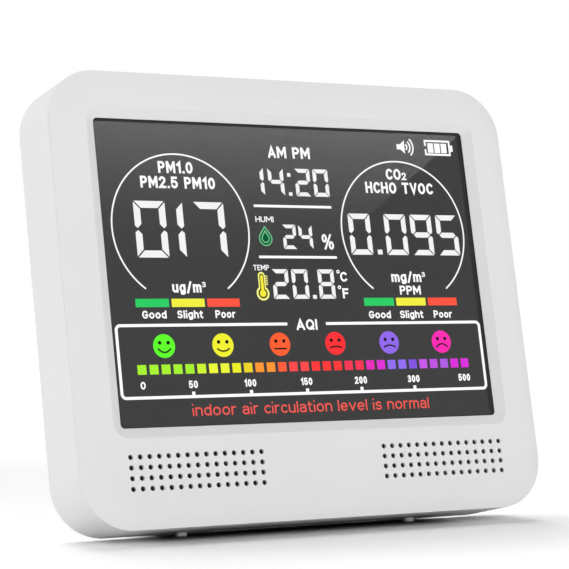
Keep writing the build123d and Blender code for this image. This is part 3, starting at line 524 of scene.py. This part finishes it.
# centre lines of the characters, drawn with square ends
GLYPHS = {
    "0": [bowl(0.27, 0.5, 0.27, 0.5, 0, 360)],
    "1": [[(0, 0.78), (0.24, 1), (0.24, 0)]],
    "2": [bowl(0.26, 0.73, 0.25, 0.27, 165, -35) + [(0, 0), (0.54, 0)]],
    "3": [bowl(0.25, 0.76, 0.23, 0.24, 150, -90) + bowl(0.25, 0.26, 0.27, 0.26, 90, -150)[1:]],
    "5": [[(0.48, 1), (0.06, 1), (0.03, 0.52)] + bowl(0.26, 0.31, 0.27, 0.31, 125, -150)],
    ".": [[(0, 0), (0, 0)]],
    "/": [[(0, -0.1), (0.34, 1.05)]],
    "%": [
        bowl(0.14, 0.76, 0.14, 0.24, 0, 360),
        bowl(0.66, 0.24, 0.14, 0.24, 0, 360),
        [(0.16, 0), (0.64, 1)],
    ],
    "A": [[(0, 0), (0.3, 1), (0.6, 0)], [(0.1, 0.28), (0.5, 0.28)]],
    "C": [bowl(0.29, 0.5, 0.29, 0.5, 45, 315)],
    "E": [[(0.46, 1), (0, 1), (0, 0), (0.46, 0)], [(0.02, 0.52), (0.4, 0.52)]],
    "F": [[(0.46, 1), (0, 1), (0, 0)], [(0.02, 0.52), (0.4, 0.52)]],
    "G": [bowl(0.3, 0.5, 0.3, 0.5, 45, 345) + [(0.59, 0.46), (0.36, 0.46)]],
    "H": [[(0, 0), (0, 1)], [(0.54, 0), (0.54, 1)], [(0.02, 0.52), (0.52, 0.52)]],
    "I": [[(0, 0), (0, 1)]],
    "M": [[(0, 0), (0, 1)], [(0.04, 1), (0.38, 0.3), (0.72, 1)], [(0.76, 1), (0.76, 0)]],
    "O": [bowl(0.3, 0.5, 0.3, 0.5, 0, 360)],
    "P": [[(0, 0), (0, 1)] + bowl(0.28, 0.73, 0.24, 0.27, 90, -90) + [(0.02, 0.46)]],
    "Q": [bowl(0.3, 0.5, 0.3, 0.5, 0, 360), [(0.4, 0.2), (0.58, 0)]],
    "S": [bowl(0.26, 0.75, 0.25, 0.25, 30, 270) + bowl(0.26, 0.25, 0.26, 0.25, 90, -150)[1:]],
    "T": [[(0, 1), (0.54, 1)], [(0.27, 1), (0.27, 0)]],
    "U": [[(0, 1)] + bowl(0.27, 0.27, 0.27, 0.27, 180, 360) + [(0.54, 1)]],
    "V": [[(0, 1), (0.28, 0), (0.56, 1)]],
    "a": [
        bowl(0.22, 0.5, 0.21, 0.22, 150, 0) + [(0.43, 0)],
        [(0.41, 0.4), (0.2, 0.4)] + bowl(0.2, 0.2, 0.2, 0.2, 90, 270) + [(0.28, 0), (0.41, 0.12)],
    ],
    "c": [bowl(0.24, 0.36, 0.24, 0.36, 50, 310)],
    "d": [bowl(0.23, 0.36, 0.23, 0.36, 0, 360), [(0.46, 1), (0.46, 0)]],
    "e": [[(0.03, 0.37), (0.46, 0.37)] + bowl(0.24, 0.36, 0.24, 0.36, 4, 315)],
    "g": [
        bowl(0.23, 0.36, 0.23, 0.36, 0, 360),
        [(0.46, SMALL)] + bowl(0.25, -0.06, 0.21, 0.2, 0, -140),
    ],
    "h": [[(0, 1), (0, 0)], bowl(0.22, 0.47, 0.22, 0.25, 180, 0) + [(0.44, 0)]],
    "i": [[(0, 0.62), (0, 0)], [(0, 1.03), (0, 1.03)]],
    "l": [[(0, 1), (0, 0)]],
    "m": [
        STEM,
        bowl(0.18, 0.5, 0.18, 0.22, 180, 0) + [(0.36, 0)],
        bowl(0.54, 0.5, 0.18, 0.22, 180, 0) + [(0.72, 0)],
    ],
    "n": [STEM, bowl(0.22, 0.47, 0.22, 0.25, 180, 0) + [(0.44, 0)]],
    "o": [bowl(0.25, 0.36, 0.25, 0.36, 0, 360)],
    "r": [STEM, bowl(0.24, 0.46, 0.24, 0.26, 180, 85)],
    "s": [bowl(0.2, 0.54, 0.19, 0.18, 30, 270) + bowl(0.2, 0.18, 0.2, 0.18, 90, -150)[1:]],
    "t": [[(0.1, 0.94)] + bowl(0.24, 0.14, 0.14, 0.14, 180, 285), [(0, SMALL), (0.26, SMALL)]],
    "u": [
        [(0, SMALL)] + bowl(0.22, 0.22, 0.22, 0.22, 180, 360),
        [(0.44, SMALL), (0.44, 0)],
    ],
    "v": [[(0, SMALL), (0.24, 0), (0.48, SMALL)]],
}

# ---------------------------------------------------------------- display artwork
ART = FACE @ Matrix.Translation((0.38, 0.24, 0))  # where the display's cells sit behind the window
ART_TOP = -(WINDOW_TOP + WINDOW_T) - 0.05  # in the gap between the window and the glass
ART_T = 0.06
INK_TOP = ART_TOP + 0.04  # dark details in front of the lit ones
white = lit("lit_white", (1.0, 1.0, 1.0), 1.03)
digit_white = lit("lit_digits", (0.97, 0.97, 0.98), 0.93)
green = lit("lit_green", linear(45, 205, 100), 1.0)
yellow = lit("lit_yellow", linear(243, 240, 66), 1.0)
red = lit("lit_red", linear(252, 85, 65), 1.0)
message_red = lit("lit_message", linear(240, 92, 84), 1.0)
mint = lit("lit_drop", linear(120, 200, 150), 1.0)
forest = lit("lit_drop_dark", linear(0, 90, 45), 1.0)
pale_yellow = lit("lit_thermometer", linear(250, 248, 140), 1.0)
deep_yellow = lit("lit_mercury", linear(246, 236, 60), 1.0)
ink = lit("unlit_detail", linear(24, 18, 18), 1.0)

# words, their left and right edges, base line and height of the capitals
labels = Art("display_labels", white, ART_TOP, ART_T)
for words, x0, x1, base, cap in (
    ("PM1.0", -44.5, -33.1, 29.5, 3.55),
    ("PM2.5 PM10", -50.7, -26.1, 24.9, 3.55),
    ("ug/m", -43.6, -34.1, -6.27, 3.2),
    ("AM PM", -6.9, 7.77, 35.17, 3.56),
    ("HUMI", -13.57, -7.4, 15.17, 1.76),
    ("TEMP", -16.0, -10.67, 0.43, 1.64),
    ("C", 13.83, 16.17, -3.0, 3.0),
    ("F", 14.07, 16.17, -8.17, 3.1),
    ("CO", 34.6, 40.1, 29.43, 3.5),
    ("2", 40.4, 42.07, 29.43, 2.4),
    ("HCHO TVOC", 26.57, 51.43, 25.0, 3.57),
    ("mg/m", 32.27, 43.2, -3.1, 3.2),
    ("PPM", 34.83, 42.5, -7.07, 2.8),
    ("3", -33.8, -32.55, -4.7, 1.6),
    ("3", 43.5, 44.75, -1.53, 1.6),
    ("AQI", -3.33, 3.88, -17.75, 3.25),
    ("Good", -54.1, -46.3, -13.9, 2.33),
    ("Slight", -42.8, -34.4, -13.9, 2.33),
    ("Poor", -30.3, -23.7, -13.9, 2.33),
    ("Good", 22.6, 30.5, -14.43, 2.33),
    ("Slight", 33.9, 42.4, -14.43, 2.33),
    ("Poor", 46.3, 53.1, -14.43, 2.33),
):
    labels.text(words, x0, x1, base, cap, LIGHT if words in ("HUMI", "TEMP") else BOLD)
SCALE_BASE, SCALE_CAP = -34.4, 2.2
for number, x, half in (  # middle and half width of each number under the scale
    ("0", -55.9, 0.8),
    ("50", -39.8, 1.45),
    ("100", -21.0, 1.95),
    ("150", -1.9, 1.95),
    ("200", 17.1, 2.15),
    ("300", 36.1, 2.15),
    ("500", 54.9, 2.15),
):
    labels.text(number, x - half, x + half, SCALE_BASE, SCALE_CAP)
labels.text("%", 8.77, 12.83, 6.93, 4.8, PERCENT)
for x, y in ((13.23, 0.07), (13.17, -4.77)):  # degree signs
    labels.band(arc(x, y, DEGREE_R, 0, 360, 16)[:-1], DEGREE_LINE, closed=True)
labels.build()

lines = Art("display_lines", white, ART_TOP, ART_T)
RING_X, RING_Y, RING_R, RING_LINE = 38.7, 12.86, 22.44, 0.45
RING_GAP = 53.4  # the rings end this many degrees below the level
RULE_HALF = 0.38
for x in (-RING_X, RING_X):
    lines.band(arc(x, RING_Y, RING_R, -RING_GAP, 180 + RING_GAP, 96), RING_LINE)
for y in (20.15, 4.5):  # rules between clock, humidity and temperature
    lines.box(-13.67, y - RULE_HALF, 13.4, y + RULE_HALF)
FRAME_X, FRAME_TOP, FRAME_LOW, FRAME_R, FRAME_LINE = 62.78, -15.88, -36.85, 1.3, 0.86
frame_path = (
    [(-6.46, FRAME_TOP)]
    + arc(-FRAME_X + FRAME_R, FRAME_TOP - FRAME_R, FRAME_R, 90, 180, 8)
    + arc(-FRAME_X + FRAME_R, FRAME_LOW + FRAME_R, FRAME_R, 180, 270, 8)
    + arc(FRAME_X - FRAME_R, FRAME_LOW + FRAME_R, FRAME_R, 270, 360, 8)
    + arc(FRAME_X - FRAME_R, FRAME_TOP - FRAME_R, FRAME_R, 0, 90, 8)
    + [(7.0, FRAME_TOP)]
)
lines.band(frame_path, FRAME_LINE)
TICKS, TICK_X, TICK_PITCH, TICK_HALF, TICK_TOP = 5, -39.96, 19.04, 0.5, -35.4
for k in range(TICKS):
    x = TICK_X + TICK_PITCH * k
    lines.box(x - TICK_HALF, FRAME_LOW + 0.3, x + TICK_HALF, TICK_TOP)
lines.build()

# seven-segment figures: base line, height and stroke, then each figure's left edge and width, then the
# square points and colons as boxes
for name, (base, height, stroke), figures, points in (
    (
        "particle_digits",
        (4.07, 16.86, 2.1),
        (("0", -53.73, 10.23), ("1", -48.0, 10.23), ("7", -34.3, 10.23)),
        (),
    ),
    (
        "gas_digits",
        (5.43, 12.9, 1.67),
        (("0", 18.9, 7.8), ("0", 31.9, 7.87), ("9", 41.5, 7.83), ("5", 51.1, 7.9)),
        ((28.43, 5.57, 30.1, 7.07),),
    ),
    (
        "clock_digits",
        (23.43, 8.57, 1.23),
        (("1", -14.6, 5.3), ("4", -7.73, 5.33), ("2", 1.6, 5.3), ("0", 8.0, 5.33)),
        ((-1.0, 29.43, 0.17, 30.57), (-1.0, 23.5, 0.17, 24.57)),
    ),
    ("humidity_digits", (7.0, 7.5, 1.1), (("2", -4.73, 4.63), ("4", 0.9, 4.67)), ()),
    (
        "temperature_digits",
        (-8.27, 9.04, 1.25),
        (("2", -9.93, 5.53), ("0", -3.23, 5.56), ("8", 5.93, 5.64)),
        ((3.5, -8.27, 4.83, -7.1),),
    ),
):
    art = Art(name, digit_white, ART_TOP, ART_T)
    for char, left, width in figures:
        art.digit(char, left, base, width, height, stroke)
    for point in points:
        art.box(*point)
    art.build()

BAR_PITCH, BAR_LONG, BAR_FOOT, BAR_HEAD = 11.65, 10.75, 0.15, 2.6
for name, finish, step in (("bars_green", green, 0), ("bars_yellow", yellow, 1), ("bars_red", red, 2)):
    art = Art(name, finish, ART_TOP, ART_T)
    for start, low in ((-55.9, -10.7), (21.4, -10.67)):
        left = start + BAR_PITCH * step
        art.box(left, low + BAR_FOOT, left + BAR_LONG, low + BAR_HEAD)
    art.build()

# the six faces, each with the height of its mouth's corners and of its middle
FACE_X, FACE_PITCH, FACE_Y, FACE_R = -48.04, 19.19, -21.96, 3.5
EYE_X, EYE_Y, EYE_R = 1.37, 0.96, 0.56
MOUTH_X, MOUTH_LINE, MOUTH_STEPS = 2.1, 0.46, 6
features = Art("face_features", ink, INK_TOP, 0.03)
for k, (colour, corner, middle) in enumerate(
    (
        ((95, 255, 45), -0.7, -1.87),
        ((240, 240, 50), -0.95, -1.8),
        ((255, 95, 50), -1.33, -1.33),
        ((255, 50, 55), -1.4, -0.95),
        ((145, 105, 235), -1.5, -0.83),
        ((255, 45, 180), -1.75, -0.67),
    )
):
    x = FACE_X + FACE_PITCH * k
    disc = Art(f"face_{k + 1}", lit(f"lit_face_{k + 1}", linear(*colour), 1.0), ART_TOP, ART_T)
    disc.disc(x, FACE_Y, FACE_R)
    disc.build()
    for eye_x in (-EYE_X, EYE_X):
        features.disc(x + eye_x, FACE_Y + EYE_Y, EYE_R, 16)
    mouth = []
    for step in range(-MOUTH_STEPS, MOUTH_STEPS + 1):
        y = middle + (corner - middle) * (step / MOUTH_STEPS) ** 2
        mouth.append((x + MOUTH_X * step / MOUTH_STEPS, FACE_Y + y))
    features.band(mouth, MOUTH_LINE)
features.build()

# thirty squares of the index scale, coloured by where they stand on it
SQUARES, SQUARE, SQUARE_PITCH, SQUARE_X, SQUARE_LOW = 30, 2.8, 3.843, -55.8, -30.15
scale_stops = (
    (0, (165, 240, 50)),
    (5, (205, 245, 50)),
    (6, (236, 248, 60)),
    (8, (235, 238, 40)),
    (9, (235, 210, 40)),
    (10, (255, 150, 50)),
    (12, (255, 95, 60)),
    (13, (255, 75, 75)),
    (15, (255, 57, 57)),
    (18, (255, 55, 85)),
    (20, (235, 45, 190)),
    (21, (225, 50, 215)),
    (22, (145, 110, 240)),
    (24, (130, 85, 225)),
    (25, (200, 90, 235)),
    (26, (190, 85, 225)),
    (27, (175, 95, 230)),
    (28, (218, 48, 220)),
)
scale = lit("lit_scale", (1.0, 1.0, 1.0), 1.0)
apart = scale.node("SeparateXYZ")
scale.link(scale.mm, apart.inputs["Vector"])
left_edge = SQUARE_X - SQUARE_PITCH / 2
along = scale.span(apart.outputs["X"], 0.0, 1.0, left_edge, left_edge + SQUARES * SQUARE_PITCH)
scale.link(
    scale.shades(along, *((k / SQUARES, linear(*c)) for k, c in scale_stops), mode="CONSTANT"),
    scale.shader.inputs["Emission Color"],
)
squares = Art("scale_squares", scale, ART_TOP, ART_T)
for k in range(SQUARES):
    x = SQUARE_X + SQUARE_PITCH * k
    squares.box(x - SQUARE / 2, SQUARE_LOW, x + SQUARE / 2, SQUARE_LOW + SQUARE)
squares.build()

message = Art("display_message", message_red, ART_TOP, ART_T)
sentence = "indoor air circulation level is normal"
message.text(sentence, -40.9, 40.6, -42.5, 3.35, MESSAGE, MESSAGE_TRACKING)
message.build()

icons = Art("display_icons", white, ART_TOP, ART_T)
icons.poly([(39.83, 39.3), (41.2, 39.3), (42.7, 38.0), (42.7, 42.3), (41.2, 41.0), (39.83, 41.0)])
SOUND_X, SOUND_Y, SOUND_HALF, SOUND_LINE = 42.4, 40.15, 48, 0.5
for radius in (1.2, 2.35, 3.5):  # sound waves
    icons.band(arc(SOUND_X, SOUND_Y, radius, -SOUND_HALF, SOUND_HALF, 12), SOUND_LINE)
CELL_LEFT, CELL_RIGHT, CELL_LOW, CELL_TOP, CELL_LINE = 50.57, 59.7, 38.03, 42.43, 0.6
icons.band(  # outline of the battery, open at its left
    [
        (CELL_LEFT, 39.7),
        (CELL_LEFT, CELL_LOW),
        (CELL_RIGHT, CELL_LOW),
        (CELL_RIGHT, CELL_TOP),
        (CELL_LEFT, CELL_TOP),
        (CELL_LEFT, 40.75),
    ],
    CELL_LINE,
)
icons.box(60.0, 39.17, 60.93, 41.17)  # its terminal
CHARGE_X, CHARGE_PITCH, CHARGE_WIDE = 51.5, 2.52, 2.07
for k in range(3):
    x = CHARGE_X + CHARGE_PITCH * k
    icons.box(x, 38.6, x + CHARGE_WIDE, 41.67)
icons.build()

DROP_X, DROP_LINE = -10.77, 0.34


def drop(tip, low, radius):
    """Outline of a water drop: straight sides from the tip, tangent to a circle."""
    y = low + radius
    slope = math.degrees(math.asin(radius / (tip - y)))
    return [(DROP_X, tip)] + arc(DROP_X, y, radius, 180 - slope, 360 + slope, 28)


outer_drop = Art("drop_ground", forest, ART_TOP - 0.02, ART_T - 0.02)
outer_drop.poly(drop(14.0, 7.83, 2.3))
outer_drop.build()
drop_lines = Art("drop_lines", mint, ART_TOP, 0.02)
drop_lines.band(drop(13.75, 8.0, 2.13), DROP_LINE, closed=True)
drop_lines.band(drop(12.45, 8.95, 1.22), DROP_LINE, closed=True)
drop_lines.build()

BULB_X, BULB_Y = -13.6, -6.57
MARKS, MARKS_TOP, MARKS_PITCH, MARKS_THICK = 5, -1.5, 0.62, 0.3


def thermometer(y, stem, bulb, steps):
    """Outline of a round-topped stem, its top round at height y, that runs into a bulb."""
    reach = math.degrees(math.asin(stem / bulb))
    return arc(BULB_X, y, stem, 0, 180, 12) + arc(BULB_X, BULB_Y, bulb, 90 + reach, 450 - reach, steps)


glass = Art("thermometer_glass", pale_yellow, ART_TOP - 0.02, ART_T - 0.02)
glass.poly(thermometer(-1.24, 1.17, 2.17, 32))
for k in range(MARKS):
    y = MARKS_TOP - MARKS_PITCH * k
    glass.box(-12.4, y, -11.57, y + MARKS_THICK)
glass.build()
groove = Art("thermometer_outline", ink, ART_TOP - 0.005, 0.01)
groove.poly(thermometer(-1.35, 0.75, 1.55, 32))
groove.build()
mercury = Art("thermometer_liquid", deep_yellow, ART_TOP + 0.01, 0.012)
mercury.poly(thermometer(-1.45, 0.48, 1.1, 24))
mercury.build()

# ---------------------------------------------------------------- marks on the rear buttons
mark_ink = grained("button_mark", (0.16, 0.16, 0.17), 0.5, 0.1, 0.15, 0.004)
MARK_R, MARK_LINE, MARK_TOP, MARK_T = 1.05, 0.32, CAP_TOP + 0.03, 0.05


def rear_centre(node):
    """Where a node's middle is, in millimetres of the rear view."""
    low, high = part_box(node)
    return REAR.inverted() @ ((low + high) / 2)


for body, shapes in (
    ("power_button", [("band", arc(0, 0, MARK_R, 125, 415, 24)), ("band", [(0, 0.15), (0, 1.35)])]),
    ("mode_button", [("band", [(-1.1, y), (1.1, y)]) for y in (-0.95, 0.0, 0.95)]),
    ("down_button", [("poly", [(-1.15, 0.65), (0, -1.0), (1.15, 0.65)])]),
    ("up_button", [("poly", [(-1.15, -0.65), (1.15, -0.65), (0, 1.0)])]),
):
    centre = rear_centre(body)
    mark = Art(body.replace("button", "mark"), mark_ink, MARK_TOP, MARK_T)
    for kind, points in shapes:
        placed = [(centre.x + x, centre.y + y) for x, y in points]
        if kind == "band":
            mark.band(placed, MARK_LINE)
        else:
            mark.poly(placed)
    mark.build(body, REAR)


# ================================================================ floor, backdrop and light
def level(x0, y0, x1, y1, z):
    """Corners of a level rectangle."""
    return [(x0, y0, z), (x1, y0, z), (x1, y1, z), (x0, y1, z)]


def stage_plane(name, corners, finish):
    """A four-cornered piece of the stage, no part of the object."""
    mesh = bpy.data.meshes.new(name)
    mesh.from_pydata([tuple(c) for c in corners], [], [(0, 1, 2, 3)])
    mesh.materials.append(finish)
    made = bpy.data.objects.new(name, mesh)
    bpy.context.collection.objects.link(made)
    return made


# paper floor, overexposed where it is seen, yet giving the case no more light than paper does
FLOOR = 12.0
GIVEN, SEEN = 0.87, 1.23
paper = grained("floor_paper", (0.90, 0.90, 0.90), 0.75, 0.004, 1.2, 0.01, 300.0)
ray = paper.node("LightPath")
gain = paper.span(ray.outputs["Is Camera Ray"], GIVEN, SEEN, 0.0, 1.0)
matt = paper.node("BsdfDiffuse")
scaled = paper.node("VectorMath", operation="SCALE")
paper.link(paper.shader.inputs["Base Color"].links[0].from_socket, scaled.inputs[0])
paper.link(gain, scaled.inputs["Scale"])
paper.link(scaled.outputs["Vector"], matt.inputs["Color"])
paper.link(paper.shader.inputs["Normal"].links[0].from_socket, matt.inputs["Normal"])
paper.link(matt.outputs["BSDF"], paper.tree.nodes["Material Output"].inputs["Surface"])
paper.tree.nodes.remove(paper.shader)
stage_plane("floor", level(-FLOOR, -FLOOR, FLOOR, FLOOR, 0), paper.material)

# a small black scrim lying under the case, thinner towards its edges, keeps the contact shadow deep
scrim = grained("flag_cloth", (0.01, 0.01, 0.01), 0.9, 0.2, 0.5, 0.05)
spot = scrim.node("SeparateXYZ")
scrim.link(scrim.node("TexCoord").outputs["Generated"], spot.inputs["Vector"])
densities = []
for axis, stops in (
    ("X", ((0.0, 0.0), (0.1, 1.0), (0.9, 1.0), (1.0, 0.0))),
    ("Y", ((0.0, 0.0), (0.30, 0.2), (0.52, 1.0), (0.76, 1.0), (0.88, 0.35), (1.0, 0.0))),
):
    densities.append(scrim.shades(spot.outputs[axis], *((at, (dense,) * 3) for at, dense in stops)))
scrim.link(scrim.maths("MULTIPLY", *densities), scrim.shader.inputs["Alpha"])
foot_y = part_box("bottom_foot_left")[0].y
SCRIM_X, SCRIM_BEFORE, SCRIM_BEHIND, SCRIM_HIGH = 0.056, 0.022, 0.018, 0.0004
scrim_area = level(-SCRIM_X, foot_y - SCRIM_BEFORE, SCRIM_X, foot_y + SCRIM_BEHIND, SCRIM_HIGH)
flag = stage_plane("flag", scrim_area, scrim.material)
flag.visible_camera = False
flag.visible_glossy = False

AMBIENT, BACKDROP = 0.34, 1.0
world = bpy.data.worlds.new("studio")
world.use_nodes = True
bpy.context.scene.world = world
tree = world.node_tree
given, seen = tree.nodes["Background"], tree.nodes.new("ShaderNodeBackground")
for background, strength in ((given, AMBIENT), (seen, BACKDROP)):
    background.inputs["Color"].default_value = (1, 1, 1, 1)
    background.inputs["Strength"].default_value = strength
ray = tree.nodes.new("ShaderNodeLightPath")
mix = tree.nodes.new("ShaderNodeMixShader")
tree.links.new(ray.outputs["Is Camera Ray"], mix.inputs["Fac"])
tree.links.new(given.outputs["Background"], mix.inputs[1])
tree.links.new(seen.outputs["Background"], mix.inputs[2])
tree.links.new(mix.outputs["Shader"], tree.nodes["World Output"].inputs["Surface"])


def sun(name, towards, strength, spread):
    """Soft distant light that comes from a direction, spread over an angle in degrees."""
    data = bpy.data.lights.new(name, "SUN")
    data.energy = strength
    data.angle = math.radians(spread)
    made = bpy.data.objects.new(name, data)
    made.rotation_euler = Vector(towards).to_track_quat("Z", "Y").to_euler()
    bpy.context.collection.objects.link(made)
    return made


# the front light stays out of the display's reflections, as a light behind a polariser does
front_light = sun("front_light", towards=OUT, strength=1.79, spread=45)
front_light.visible_glossy = False
front_light.visible_transmission = False
sun("left_light", towards=(-0.87, 0.46, 0.10), strength=2.05, spread=50)
sun("back_light", towards=(0.0, 0.42, 1.0), strength=1.35, spread=36)


def mirrored(x, y, distance):
    """Where the view reflected at a window point meets the soft box, this far from the window."""
    point = FACE @ Vector((x, y, -WINDOW_TOP))
    line = (point - eye).normalized()
    line -= 2 * line.dot(OUT) * OUT
    main = (window_front - eye).normalized()
    main -= 2 * main.dot(OUT) * OUT
    plane = window_front + main * distance
    return point + line * ((plane - point).dot(main) / line.dot(main))


# a soft box with a slanting edge, seen only as a sheen in glossy surfaces; it is laid out by where its
# reflection falls on the window, in mm
EDGE_X, EDGE_Y, EDGE_SLOPE = 28.3, 19.0, 0.72  # a point of the slanting edge, and its slope
CARD_LEFT, CARD_LOW, CARD_HIGH, CARD_AWAY = -110.0, -45.0, 60.0, 0.9
CARD_MAX = 3.0
GLARE = ((0, 0.34), (10, 0.37), (20, 0.52), (30, 0.87), (40, 1.36), (60, 2.72))  # height, level
card_finish = bpy.data.materials.new("soft_box")
card_finish.use_nodes = True
tree = card_finish.node_tree
tree.nodes.remove(tree.nodes["Principled BSDF"])
glow = tree.nodes.new("ShaderNodeEmission")
fade = tree.nodes.new("ShaderNodeValToRGB")
ramp = fade.color_ramp
while len(ramp.elements) < len(GLARE):
    ramp.elements.new(1.0)
for element, (y, strength) in zip(ramp.elements, GLARE):
    element.position = (y - CARD_LOW) / (CARD_HIGH - CARD_LOW)
    element.color = (*(strength / CARD_MAX,) * 3, 1)
place = tree.nodes.new("ShaderNodeUVMap")
split = tree.nodes.new("ShaderNodeSeparateXYZ")
tree.links.new(place.outputs["UV"], split.inputs["Vector"])
tree.links.new(split.outputs["Y"], fade.inputs["Fac"])
tree.links.new(fade.outputs["Color"], glow.inputs["Color"])
glow.inputs["Strength"].default_value = CARD_MAX
tree.links.new(glow.outputs["Emission"], tree.nodes["Material Output"].inputs["Surface"])
low_x, high_x = (EDGE_X + (y - EDGE_Y) / EDGE_SLOPE for y in (CARD_LOW, CARD_HIGH))
outline = ((CARD_LEFT, CARD_LOW), (low_x, CARD_LOW), (high_x, CARD_HIGH), (CARD_LEFT, CARD_HIGH))
card = stage_plane("soft_box", [mirrored(x, y, CARD_AWAY) for x, y in outline], card_finish)
corners = card.data.uv_layers.new(name="UVMap")
for loop, (x, y) in zip(corners.data, outline):
    loop.uv = (0.5, (y - CARD_LOW) / (CARD_HIGH - CARD_LOW))
card.visible_camera = False
card.visible_diffuse = False
card.visible_shadow = False
